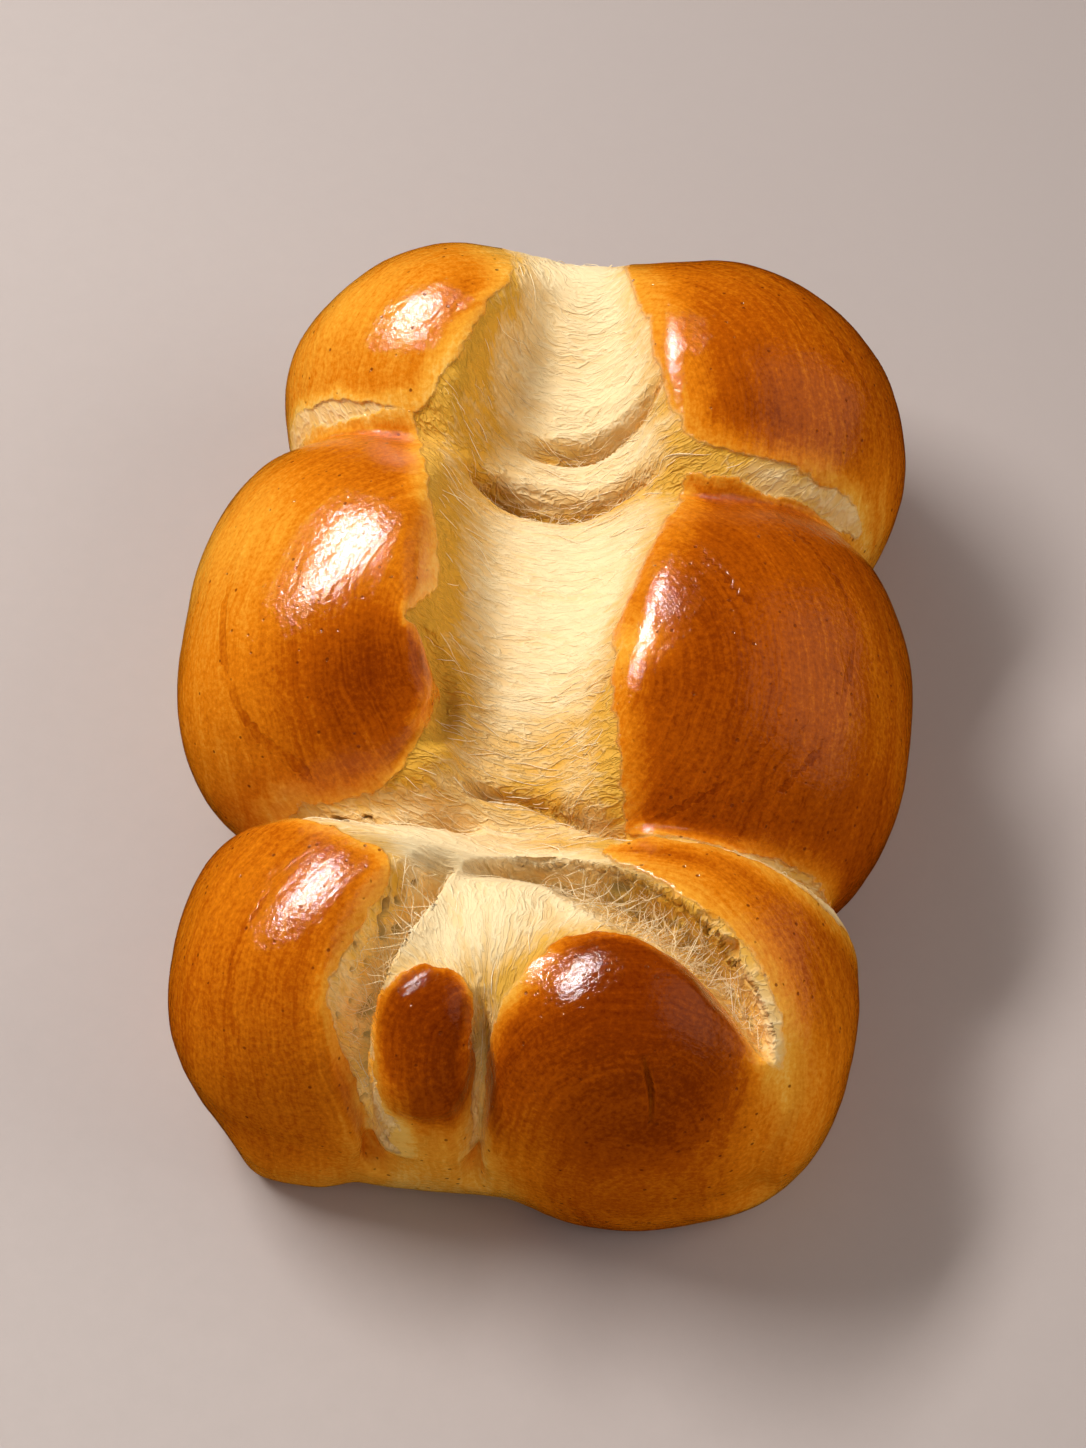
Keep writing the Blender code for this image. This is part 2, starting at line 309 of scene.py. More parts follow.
def lobe(p, name):
    """How far p lies outside a lobe, measured from the lobe's centre."""
    centre, reach, in_plan, upright = LOBES[name]
    x, y, z = (p - np.array(centre)).T
    lean = np.radians(LEANS.get(name, 0))
    y, z = y * np.cos(lean) + z * np.sin(lean), z * np.cos(lean) - y * np.sin(lean)
    plan = (np.abs(x / reach[0]) ** in_plan + np.abs(y / reach[1]) ** in_plan) ** (upright / in_plan)
    share = (plan + np.abs(z / np.where(z > 0, reach[2], UNDERSIDE)) ** upright) ** (1 / upright) + 1e-6
    return np.sqrt(x * x + y * y + z * z) * (1 - 1 / share)


def smooth_line(points, steps=8, closed=False):
    """A Catmull-Rom curve through the rows of points, all their columns together."""
    rows = np.array(points, float)
    if closed:
        rows = np.vstack([rows[-1], rows, rows[:2]])
    else:
        rows = np.vstack([2 * rows[0] - rows[1], rows, 2 * rows[-1] - rows[-2]])
    found = []
    for a, b, c, d in zip(rows, rows[1:], rows[2:], rows[3:]):
        for t in np.arange(steps) / steps:
            bend = 2 * a - 5 * b + 4 * c - d + t * (3 * (b - c) + d - a)
            found.append(b + 0.5 * t * (c - a + t * bend))
    return np.array(found + [rows[-2]])


def beside(xy, line):
    """How far each point lies from a line in plan, over 0 on its left, and its other columns there."""
    near = np.full(len(xy), np.inf)
    side = np.ones(len(xy))
    columns = np.zeros((len(xy), line.shape[1] - 2))
    for a, b in zip(line, line[1:]):
        run = b[:2] - a[:2]
        out = xy - a[:2]
        t = np.clip(out @ run / (run @ run), 0, 1)
        away = np.linalg.norm(out - t[:, None] * run, axis=1)
        nearer = away < near
        near[nearer] = away[nearer]
        side[nearer] = np.where(run[0] * out[nearer, 1] >= run[1] * out[nearer, 0], 1, -1)
        columns[nearer] = a[2:] + t[nearer, None] * (b[2:] - a[2:])
    return near * side, columns


def within(xy, line):
    """Which points lie inside a closed line."""
    inside = np.zeros(len(xy), bool)
    for a, b in zip(line, line[1:]):
        if a[1] != b[1]:
            spans = (a[1] > xy[:, 1]) != (b[1] > xy[:, 1])
            inside ^= spans & (xy[:, 0] < a[0] + (xy[:, 1] - a[1]) / (b[1] - a[1]) * (b[0] - a[0]))
    return inside


def pocket_depth(away, width, depth):
    return depth * ease(away / LIP + 0.5) * (1 - ease((away - LIP) / width))


def seam_depth(away, width, depth):
    return depth * np.exp(-((away / width) ** 2))


def relief(p, drawn, depth_of):
    """The depth that a set of pockets or seams takes off the skin at p."""
    total = np.zeros(len(p))
    foot = ease((p[:, 2] - RELIEF_FOOT[0]) / (RELIEF_FOOT[1] - RELIEF_FOOT[0]))
    for points in drawn.values():
        line = smooth_line(points)
        margin = 3 * line[:, 2].max()
        inside = (p[:, :2] > line[:, :2].min(0) - margin) & (p[:, :2] < line[:, :2].max(0) + margin)
        close = np.flatnonzero(inside.all(1))
        away, columns = beside(p[close, :2], line)
        total[close] += depth_of(away, np.maximum(columns[:, 0], 0.5), np.maximum(columns[:, 1], 0))
    return total * foot


def above_valley(p):
    """How far p lies above the torn valley, which has a steep left side and a gentler right one."""
    line = smooth_line(VALLEY)[::-1]
    middle, half, floor = (np.interp(p[:, 1], line[:, 0], line[:, column]) for column in (1, 2, 3))
    across = (p[:, 0] - middle) / half
    rise = np.abs(across) ** np.where(across < 0, *VALLEY_SIDES)
    steepness = np.minimum(1 + 2.5 * (RIM - floor) / half * np.abs(across) ** 1.5, STEEPEST)
    ended = ease((VALLEY_END[0] - p[:, 1]) / (VALLEY_END[0] - VALLEY_END[1]))
    return (p[:, 2] - floor - (RIM - floor) * rise) / steepness - RIM * ended


def outside(p):
    """About how far each point lies outside the loaf, in millimetres, and less than 0 inside it."""
    lobes = {name: lobe(p, name) for name in LOBES}
    back = join(lobes["back_left"], lobes["back_right"], BACK_FILLET)
    middle = join(lobes["middle_left"], lobes["middle_right"], MIDDLE_FILLET)
    torn = common(join(back, middle, ROLL_FILLET), above_valley(p), TORN_FILLET)
    front = join(lobes["front_left"], lobes["front_right"], FRONT_FILLET)
    front = join(join(front, lobes["front_sole"], SOLE_FILLET), lobes["front_corner"], SOLE_FILLET)
    heart = join(join(lobes["ball"], lobes["dome"], BALL_FILLET), lobes["button"], BUTTON_FILLET)
    loaf = join(torn, join(front, heart, ROLL_FILLET), ROLL_FILLET)
    loaf = loaf + relief(p, POCKETS, pocket_depth) + relief(p, SEAMS, seam_depth)
    return common(loaf, -p[:, 2], SOLE_ROUND)


def grid_of(step):
    axes = [np.arange(low, high, step, dtype=float) for low, high in BOX]
    return np.stack(np.meshgrid(*axes, indexing="ij"), -1)


def gap_near_skin(corners):
    """The distances on the fine grid, worked out only where the coarse grid says that the skin is near."""
    coarse = grid_of(STEP * COARSE)
    rough = outside(coarse.reshape(-1, 3)).reshape(coarse.shape[:3])
    sides = zip(corners.shape, rough.shape)
    pick = [np.minimum((np.arange(fine) + COARSE // 2) // COARSE, most - 1) for fine, most in sides]
    gap = rough[np.ix_(*pick)]
    near = np.abs(gap) < BAND
    gap[near] = outside(corners[near])
    return gap


def fill_pinches(gap):
    """Fills the corners of the grid where two sheets of skin would touch along an edge."""
    steps = np.eye(3, dtype=int)
    pinched = [0]
    while len(pinched):
        pinched = []
        for side, other in ((0, 1), (1, 2), (2, 0)):
            near, far = np.roll(gap, -1, side) < 0, np.roll(gap, -1, other) < 0
            across = np.roll(gap, (-1, -1), (side, other)) < 0
            found = np.argwhere(((gap < 0) == across) & (near == far) & (near != across))
            for corner in (0, steps[side], steps[other], steps[side] + steps[other]):
                place = tuple((found + corner).T)
                gap[place] = np.minimum(gap[place], -FLAT)
            pinched.extend(found)


def crossings(gap, corners, axis):
    """Where the skin crosses the grid's edges along an axis, the cells around each place, and its side."""
    along, side, other = np.roll(np.eye(3, dtype=int), -axis, 0)
    low, high = (np.take(gap, range(first, gap.shape[axis] - 1 + first), axis) for first in (0, 1))
    found = np.argwhere((low < 0) != (high < 0))
    place = tuple(found.T)
    share = low[place] / (low[place] - high[place])
    points = corners[place] + STEP * share[:, None] * along
    cells = np.stack([found, found - side, found - side - other, found - other], 1)
    return points, cells, high[place] > 0


def skin():
    """The points and four-sided faces of the loaf's skin, with a point in each cell that it crosses."""
    corners = grid_of(STEP)
    gap = gap_near_skin(corners)
    fill_pinches(gap)
    total = np.zeros(corners.shape)
    count = np.zeros(gap.shape)
    rings = []
    for axis in range(gap.ndim):
        points, cells, leaving = crossings(gap, corners, axis)
        for cell in cells.transpose(1, 2, 0):
            np.add.at(total, tuple(cell), points)
            np.add.at(count, tuple(cell), 1)
        cells[~leaving] = cells[~leaving, ::-1]
        rings.append(cells)
    used = count > 0
    number = np.cumsum(used).reshape(used.shape) - 1
    faces = number[tuple(np.vstack(rings).reshape(-1, 3).T)].reshape(-1, 4)
    return total[used] / count[used, None], faces


def slope(p, reach=0.3):
    """The gradient of the distance at each point, and the distance there."""
    here = outside(p)
    return np.stack([(outside(p + reach * axis) - here) / reach for axis in np.eye(3)], 1), here


def settle(p):
    """Moves points onto the skin, and gives the directions that face out of it."""
    steep, here = slope(p)
    size = np.maximum((steep**2).sum(1), 0.3)
    move = np.clip(here / size, -STEP, STEP)
    p = p - move[:, None] * steep
    again = np.clip(outside(p) / size, -STEP / 2, STEP / 2)
    p = p - again[:, None] * steep
    return p, steep / np.maximum(np.linalg.norm(steep, axis=1), 1e-6)[:, None]


def hashed(cell, seed):
    """An even random number from 0 to 1 for each cell of a grid."""
    n = cell[:, 0] * 374761393 + cell[:, 1] * 668265263 + cell[:, 2] * 1440662683 + seed * 974634777
    n = (n ^ (n >> 13)) * 1274126177
    return ((n ^ (n >> 16)) & 0xFFFF) / 65535


def noise(p, seed=0):
    """Smooth random waves one unit long, from -1 to 1."""
    base = np.floor(p).astype(np.int64)
    part = ease(p - base)
    total = np.zeros(len(p))
    for corner in np.ndindex(2, 2, 2):
        share = np.where(np.array(corner), part, 1 - part).prod(1)
        total += share * hashed(base + np.array(corner), seed)
    return 2 * total - 1


def waves(p, rows):
    """The sum of a set of random waves."""
    return sum(high * noise(p / length, seed) for high, length, seed in rows)


def fibrous(p, grain, slow, fine, seed):
    """Noise that changes slowly along the grain and quickly across it."""
    return noise(p / slow + grain[:, None] / fine * SLANT, seed)


def crumb_line():
    """The whole edge of the torn crumb as one closed curve."""
    rows = [row for part in CRUMB_EDGE.values() for row in part]
    return smooth_line(rows, steps=3, closed=True)


def into_crumb(p):
    """How far each point is inside the torn crumb, under 0 on the crust, and the width of the fade."""
    line = crumb_line()
    away, columns = beside(p[:, :2], line)
    into = np.abs(away) * np.where(within(p[:, :2], line), 1, -1)
    into += waves(p, EDGE_WAVES)
    low = ease((LOW_CRUMB - p[:, 2]) / LOW_FADE)
    return into * (1 - low) - FAR * low, np.maximum(columns[:, 0], 1)


def pits(p, hollow):
    """Where the larger holes of the torn crumb lie."""
    bent = p + 0.9 * noise(p / 1.8, 13)[:, None] * SLANT
    many = patched(p, HOLED_PATCHES) * ease(hollow * 3 - 0.2)
    return ease((noise(bent / 2.3, 7) + 0.7 * many - 0.8) / 0.25) * ease(many * 4)


def across_fibres(p):
    """A length that grows across the fibres: a bowl at the back, straight in the valley, then a fan."""
    bowl = BOWL[1] - np.hypot(p[:, 0] - BOWL[0], (p[:, 1] - BOWL[1]) * 0.9)
    straight = p[:, 1] - 0.0035 * (p[:, 0] + 2) ** 2 + 0.12 * p[:, 0]
    fan = 24 * np.arctan2(p[:, 0] - FAN[0], np.abs(p[:, 1] - FAN[1]) + 6)
    to_back = ease((p[:, 1] - 26) / 12)
    to_front = ease((-52 - p[:, 1]) / 8)
    return (straight * (1 - to_back) + bowl * to_back) * (1 - to_front) + fan * to_front


def nearest_signed(p, drawn):
    """The signed distance to the nearest of several drawn lines."""
    found = np.full(len(p), FAR)
    for points in drawn.values():
        line = smooth_line(points)
        inside = (p[:, :2] > line[:, :2].min(0) - FAR) & (p[:, :2] < line[:, :2].max(0) + FAR)
        close = np.flatnonzero(inside.all(1))
        near, _ = beside(p[close, :2], line)
        found[close] = np.where(np.abs(near) < np.abs(found[close]), near, found[close])
    return found


def patch_tones(p):
    """How much darker each point is painted for the patches that it lies in, mostly for baking and, at the
    front foot, partly as painted light.
    """
    total = np.zeros(len(p))
    for x, y, reach, amount in BAKE_AND_LIGHT_PATCHES:
        total += amount * np.exp(-((p[:, 0] - x) ** 2 + (p[:, 1] - y) ** 2) / reach**2)
    return total


def patched(p, patches):
    """From 0 to 1, how strongly each point lies in the patches."""
    total = np.zeros(len(p))
    for x, y, wide, long, amount in patches:
        total += amount * np.exp(-(((p[:, 0] - x) / wide) ** 2) - ((p[:, 1] - y) / long) ** 2)
    return np.clip(total, 0, 1)


def masks(p):
    """What the material and the detail need at each point, such as how far inside the crumb it is."""
    into, fade = into_crumb(p)
    names = list(BAKED)
    gaps = np.stack([lobe(p, name) for name in names], 1)
    share = np.exp(-(gaps - gaps.min(1)[:, None]) / LOBE_BLEND)
    share /= share.sum(1)[:, None]
    # The patches add painted light on the dim faces at the front foot as well as baking.
    baked = share @ np.array([BAKED[name][0] for name in names]) + patch_tones(p)
    low_side = ease((SIDE_HEIGHT - p[:, 2]) / SIDE_HEIGHT)
    centres = np.array([BAKED[name][1] for name in names], float)[gaps.argmin(1)]
    ring = np.linalg.norm(p[:, :2] - centres, axis=1)
    depth = relief(p, POCKETS, pocket_depth) + SEAM_SHARE * relief(p, SEAMS, seam_depth)
    hollow = np.clip(depth / HOLLOW_DEPTH, 0, 1)
    return {
        "into": np.clip(into, -FAR, FAR),
        "fade": fade,
        "crease": np.clip(nearest_signed(p, CREASES), -FAR, FAR),
        "baked": baked - SIDE_PALER * low_side,
        "grain": np.where(into > 0, across_fibres(p), ring),
        "hollow": hollow,
        "pit": pits(p, hollow),
        "golden": patched(p, GOLDEN_PATCHES),
        "cracked": np.clip(relief(p, SLITS, seam_depth), 0, 1),
    }


def detail(p, found):
    """How far each point stands off the plain skin, for fibres, holes, slits, dents and the crust."""
    crust = ease(0.5 - found["into"] / found["fade"] / 0.6)
    way = found["grain"] + waves(p, GRAIN_WAVES)
    fibre = 1 - 2 * np.abs(fibrous(p, way, *FIBRES))
    thread = 1 - 2 * np.abs(fibrous(p, way, *THREADS))
    silky = FOLD_HIGH * fibrous(p, way, *FOLDS) + FIBRE_HIGH * fibre + THREAD_HIGH * thread
    torn = ease(found["hollow"] * 2.2)
    silky = silky + torn * (TORN_THREAD_HIGH * thread - TORN_DEEP) - PIT_DEEP * found["pit"]
    dents = waves(p, CRUST_DENTS)
    ripple = RIPPLE_HIGH * fibrous(p, way, *RIPPLES)
    edge = EDGE_HIGH * crust * np.exp(-np.maximum(-found["into"], 0) / LEDGE_WIDE)
    step = np.tanh(found["crease"] / CREASE_SHARP) * np.exp(-np.abs(found["crease"]) / LEDGE_WIDE)
    ledge = CREASE_HIGH * step * crust
    slits = relief(p, SLITS, seam_depth)
    return (1 - crust) * silky + crust * (dents + ripple) + edge + ledge - slits


def refine(mesh, wanted):
    """Splits each face that has a wanted point into four."""
    shape = bmesh.new()
    shape.from_mesh(mesh)
    shape.verts.ensure_lookup_table()
    faces = [face for face in shape.faces if any(wanted[corner.index] for corner in face.verts)]
    edges = {edge for face in faces for edge in face.edges}
    bmesh.ops.subdivide_edges(shape, edges=list(edges), cuts=1, use_grid_fill=True)
    shape.to_mesh(mesh)
    shape.free()


def points_of(mesh):
    flat = np.empty(len(mesh.vertices) * 3)
    mesh.vertices.foreach_get("co", flat)
    return flat.reshape(-1, 3)


def wants_detail(p, margin):
    """The points of the torn crumb, of its edge and of the slits, where the skin's mesh is made finer."""
    into, _ = into_crumb(p)
    slit = np.abs(nearest_signed(p, SLITS)) < margin
    return (into > -margin) | (slit & (p[:, 2] > LOW_CRUMB))


def make_loaf(material):
    points, faces = skin()
    mesh = bpy.data.meshes.new("milk_loaf")
    mesh.from_pydata(points.tolist(), [], faces.tolist())
    for margin in REFINED:
        refine(mesh, wants_detail(points_of(mesh), margin))
    points, facing = settle(points_of(mesh))
    found = masks(points)
    points = points + facing * detail(points, found)[:, None]
    points[points[:, 2] < FLAT, 2] = 0
    mesh.vertices.foreach_set("co", ((points - MIDDLE) * MM).ravel())
    for name, values in found.items():
        mesh.attributes.new(name, "FLOAT", "POINT").data.foreach_set("value", values.astype(np.float32))
    mesh.update()
    mesh.shade_smooth()
    mesh.materials.append(material)
    loaf = bpy.data.objects.new("milk_loaf", mesh)
    bpy.context.scene.collection.objects.link(loaf)
    return loaf, points, found


def fibre_way(p, facing):
    """The direction in which the fibres run along the skin at each point."""
    reach = 0.5
    here = across_fibres(p)
    across = np.stack([(across_fibres(p + reach * axis) - here) / reach for axis in np.eye(3)], 1)
    way = np.cross(facing, across)
    return way / np.maximum(np.linalg.norm(way, axis=1), 1e-6)[:, None]


def strand_routes(starts, lengths, lift, chance):
    """Walks from each start along the fibres, and gives the routes, lifted off the skin in the middle."""
    p, facing = settle(starts)
    turn = chance.choice((-1, 1), len(p))[:, None]
    bend = chance.normal(0, STRAND_WANDER, (len(p), 1))
    routes, outs = [p], [facing]
    for _ in range(STRAND_STEPS):
        way = fibre_way(p, facing) * turn
        way = way + bend * np.cross(facing, way)
        bend = bend + chance.normal(0, STRAND_WANDER, (len(p), 1)) * 0.6
        p, facing = settle(p + way * lengths[:, None] / STRAND_STEPS)
        routes.append(p)
        outs.append(facing)
    share = np.linspace(0, 1, STRAND_STEPS + 1)[:, None, None]
    bow = np.sin(np.pi * share) * lift[None, :, None]
    return np.array(routes) + np.array(outs) * (bow - SUNK)


def hanging_routes(starts, ends, sag, chance):
    """Strands that hang across a hollow from one point of its skin to another."""
    share = np.linspace(0, 1, STRAND_STEPS + 1)[:, None, None]
    straight = starts[None] * (1 - share) + ends[None] * share
    down = np.array((0, 0, -1)) * sag[None, :, None] * np.sin(np.pi * share)
    side = chance.normal(0, 0.5, (1, len(starts), 3)) * np.sin(2 * np.pi * share)
    return straight + down + side


def tubes(routes, thickness):
    """The points and faces of a thin tapering tube along each route."""
    steps, count, _ = routes.shape
    ahead = np.gradient(routes, axis=0)
    ahead /= np.maximum(np.linalg.norm(ahead, axis=2), 1e-6)[..., None]
    side = np.cross(ahead, np.array((0.3, 0.2, 1.0)))
    side /= np.maximum(np.linalg.norm(side, axis=2), 1e-6)[..., None]
    other = np.cross(ahead, side)
    share = np.linspace(0, 1, steps)
    taper = (0.35 + 0.65 * np.sin(np.pi * share))[:, None, None] * thickness[None, :, None]
    rings = []
    for turn in np.arange(TUBE_SIDES) * 2 * np.pi / TUBE_SIDES:
        rings.append(routes + taper * (np.cos(turn) * side + np.sin(turn) * other))
    points = np.stack(rings, 2)
    number = np.arange(steps * count * TUBE_SIDES).reshape(steps, count, TUBE_SIDES)
    beside_it = np.roll(number, -1, 2)
    faces = np.stack([number[:-1], beside_it[:-1], beside_it[1:], number[1:]], -1)
    caps = np.concatenate([number[0, :, ::-1], number[-1]])
    return points.reshape(-1, 3), faces.reshape(-1, 4).tolist() + caps.tolist()


def lying_strands(points, found, chance):
    """The routes of strands that lie on the torn crumb, most of them in hollow and golden places."""
    inside = np.flatnonzero(found["into"] > STRANDS_INSIDE[0])
    weight = 0.15 + found["hollow"][inside] + 0.4 * found["golden"][inside]
    chosen = chance.choice(inside, LYING_STRANDS, replace=False, p=weight / weight.sum())
    lengths = chance.uniform(*STRAND_LENGTHS, LYING_STRANDS)
    lift = chance.uniform(*STRAND_LIFTS, LYING_STRANDS) + 1.2 * found["hollow"][chosen]
    routes = strand_routes(points[chosen], lengths, lift, chance)
    into, _ = into_crumb(routes.reshape(-1, 3))
    return routes[:, into.reshape(routes.shape[:2]).min(0) > STRANDS_INSIDE[1]]


def hanging_strands(points, found, chance):
    """The routes of strands that hang between two places in a hollow, with open air half way."""
    hollow = np.flatnonzero((found["into"] > STRANDS_INSIDE[0]) & (found["hollow"] > HANGING_HOLLOW))
    first = points[chance.choice(hollow, HANGING_STRANDS * PAIRS_TRIED)]
    second = points[chance.choice(hollow, HANGING_STRANDS * PAIRS_TRIED)]
    span = np.linalg.norm(first - second, axis=1)
    open_air = outside((first + second) / 2) > HANGING_CLEAR
    short, long = HANGING_SPANS
    good = np.flatnonzero((span > short) & (span < long) & open_air)[:HANGING_STRANDS]
    sag = chance.uniform(0, HANGING_SAG, len(good))
    return hanging_routes(first[good], second[good], sag, chance)


def make_strands(points, found, material):
    """The loose strands that lie over the torn crumb and hang across its hollows."""
    chance = np.random.default_rng(SEED)
    lying = lying_strands(points, found, chance)
    hanging = hanging_strands(points, found, chance)
    routes = np.concatenate([lying, hanging], 1)
    thickness = chance.uniform(*STRAND_THICKNESS, routes.shape[1])
    corners, faces = tubes(routes, thickness)
    mesh = bpy.data.meshes.new("crumb_strands")
    mesh.from_pydata(((corners - MIDDLE) * MM).tolist(), [], faces)
    mesh.shade_smooth()
    mesh.materials.append(material)
    strands = bpy.data.objects.new("crumb_strands", mesh)
    bpy.context.scene.collection.objects.link(strands)
    return strands


class Nodes:
    """A short way to write a node tree."""

    def __init__(self, tree):
        self.tree = tree

    def add(self, kind, inputs=(), **settings):
        made = self.tree.nodes.new(kind)
        for name, value in settings.items():
            setattr(made, name, value)
        for key, value in dict(inputs).items():
            self.put(made.inputs[key], value)
        return made

    def put(self, socket, value):
        if isinstance(value, bpy.types.NodeSocket):
            self.tree.links.new(value, socket)
        elif isinstance(value, bpy.types.Node):
            self.tree.links.new(value.outputs[0], socket)
        else:
            socket.default_value = value

    def math(self, operation, *values):
        return self.add("ShaderNodeMath", dict(enumerate(values)), operation=operation)

    def mix(self, share, low, high):
        made = self.add("ShaderNodeMix", {0: share, 6: low, 7: high}, data_type="RGBA")
        return made.outputs[2]

    def attribute(self, name):
        return self.add("ShaderNodeAttribute", attribute_name=name).outputs["Fac"]

    def ramp(self, value, stops):
        made = self.add("ShaderNodeValToRGB", {0: value})
        for index, (place, colour) in enumerate(stops):
            while len(made.color_ramp.elements) <= index:
                made.color_ramp.elements.new(place)
            made.color_ramp.elements[index].position = place
            made.color_ramp.elements[index].color = (*colour, 1)
        return made.outputs[0]

    def smooth(self, value, low, high):
        """0 to 1 with soft ends as the value goes from low to high."""
        inputs = {0: value, 1: low, 2: high}
        made = self.add("ShaderNodeMapRange", inputs, interpolation_type="SMOOTHSTEP")
        return made.outputs[0]

    def span(self, value, low, high, to_low=0.0, to_high=1.0):
        return self.add("ShaderNodeMapRange", {0: value, 1: low, 2: high, 3: to_low, 4: to_high})

    def plus(self, first, *others):
        for value in others:
            first = self.math("ADD", first, value)
        return first

    def times(self, first, *others):
        for value in others:
            first = self.math("MULTIPLY", first, value)
        return first

    def centred(self, value, amount):
        return self.times(self.math("SUBTRACT", value, 0.5), amount)


class Dough(Nodes):
    """Noise laid in the dough, even or drawn out along its grain, which wavers."""

    def __init__(self, tree):
        super().__init__(tree)
        self.place = self.add("ShaderNodeTexCoord").outputs["Object"]
        small_waver = self.centred(self.speckle(130, 2.0), 2.6)
        large_waver = self.centred(self.speckle(40, 2.0), 5.0)
        self.grain = self.plus(self.attribute("grain"), small_waver, large_waver)

    def speckle(self, scale, detail=3.0, rough=0.5):
        inputs = {"Vector": self.place, "Scale": scale, "Detail": detail, "Roughness": rough}
        return self.add("ShaderNodeTexNoise", inputs)

    def streak(self, slow, fine, detail=3.0):
        """Noise with so many waves a metre along the grain, and a millimetre across it."""
        across = self.times(self.grain, fine / slow)
        inputs = {"Vector": self.place, "W": across, "Scale": slow, "Detail": detail}
        return self.add("ShaderNodeTexNoise", inputs, noise_dimensions="4D")

    def threads(self, slow, fine):
        """Thin curving threads along the grain."""
        wave = self.centred(self.streak(slow, fine, 1.5), 1.0)
        return self.smooth(self.math("ABSOLUTE", wave), 0.07, 0.0)


# The crust's colour from hardly baked to dark, the crumb's with its painted shade and the painted shade of
# its pits, the pores' and the strands'.
CRUST_RAMP = (
    (0.0, (0.90, 0.53, 0.11)),
    (0.18, (0.84, 0.36, 0.03)),
    (0.4, (0.68, 0.19, 0.005)),
    (0.6, (0.42, 0.082, 0.0015)),
    (0.8, (0.235, 0.036, 0.0006)),
    (1.0, (0.13, 0.014, 0.0004)),
)
CRUMB_PALE = (0.92, 0.72, 0.40, 1)
CRUMB_GOLD = (0.74, 0.385, 0.035, 1)
CRUMB_SHADE = (0.50, 0.27, 0.04, 1)
CRUMB_PIT_SHADE = (0.26, 0.13, 0.02, 1)
PORE = (0.16, 0.025, 0.002, 1)
# Painted glow: an emission in the crumb's hollows that stands in for light scattered through the crumb.
CRUMB_PAINTED_GLOW = (0.13, 0.085, 0.025, 1)  # light that reaches a hollow through the crumb
STRAND_PALE = (1.0, 0.90, 0.66, 1)
STRAND_GOLD = (0.96, 0.74, 0.36, 1)


def crust_of(n, wavy, fade):
    """The crust's colour, paler beside the crumb, streaked and freckled, and the height of its skin."""
    pale_edge = n.smooth(n.math("DIVIDE", wavy, fade), -3.6, 0.2)
    near_crease = n.smooth(n.math("ABSOLUTE", n.attribute("crease")), 0.26, 0.04)
    line = n.times(near_crease, n.smooth(n.speckle(60, 2.0), 0.30, 0.60))
    tone = n.plus(
        n.attribute("baked"),
        n.times(pale_edge, -0.40),
        n.times(n.attribute("cracked"), -0.2),
        n.times(line, 0.14),
        n.centred(n.streak(22, 0.8, 4.0), 0.34),
        n.centred(n.streak(60, 2.0, 2.0), 0.24),
        n.centred(n.speckle(38, 3.0), 0.26),
        n.centred(n.speckle(900, 3.0, 0.65), 0.55),
    )
    cells = n.add("ShaderNodeTexVoronoi", {"Vector": n.place, "Scale": 330.0, "Randomness": 1.0})
    dot = n.smooth(cells.outputs["Distance"], 0.17, 0.09)
    pores = n.times(dot, n.smooth(n.speckle(300, 1.0), 0.50, 0.58))
    colour = n.mix(n.times(pores, 0.8), n.ramp(n.times(tone, 0.8), CRUST_RAMP), PORE)
    skin_height = n.plus(
        n.centred(n.speckle(650, 4.0, 0.6), 0.6),
        n.centred(n.streak(90, 0.9), 0.35),
        n.times(pores, -0.4),
        n.times(line, -0.2),
    )
    return colour, skin_height


def crumb_of(n, wavy):
    """The crumb's colour, more golden near the crust and between its threads, with painted shade in its
    hollows and on its shaded walls and darkest in its pits, and its height.
    """
    coarse, fine = n.threads(150, 0.55), n.threads(300, 1.2)
    # The golden share is partly painted shade: the hollows and the shaded walls in the golden patches turn
    # golden.
    gold = n.plus(
        0.04,
        n.times(n.smooth(wavy, 7.0, 0.0), 0.60),
        n.times(n.attribute("golden"), 0.95),
        n.times(n.attribute("hollow"), 0.45),
        n.times(coarse, -0.22),
        n.times(fine, -0.12),
        n.centred(n.streak(60, 0.5, 4.0), 1.1),
        n.centred(n.speckle(60, 3.0), 0.7),
    )
    colour = n.mix(n.span(gold, 0.0, 1.0), CRUMB_PALE, CRUMB_GOLD)
    # Painted shade: hollows that are also golden are darkened towards the crumb's shade colour.
    colour = n.mix(n.times(n.attribute("hollow"), n.attribute("golden"), 0.6), colour, CRUMB_SHADE)
    # Painted shade: the pits of the torn crumb are darkened towards the pit shade colour.
    colour = n.mix(n.times(n.attribute("pit"), 0.85), colour, CRUMB_PIT_SHADE)
    height = n.plus(n.times(coarse, 1.2), n.times(fine, 0.8), n.centred(n.speckle(900, 3.0), 0.8))
    rough = n.span(n.plus(n.attribute("golden"), n.attribute("hollow")), 0.0, 1.0, 0.38, 1.2)
    return colour, n.times(height, rough)


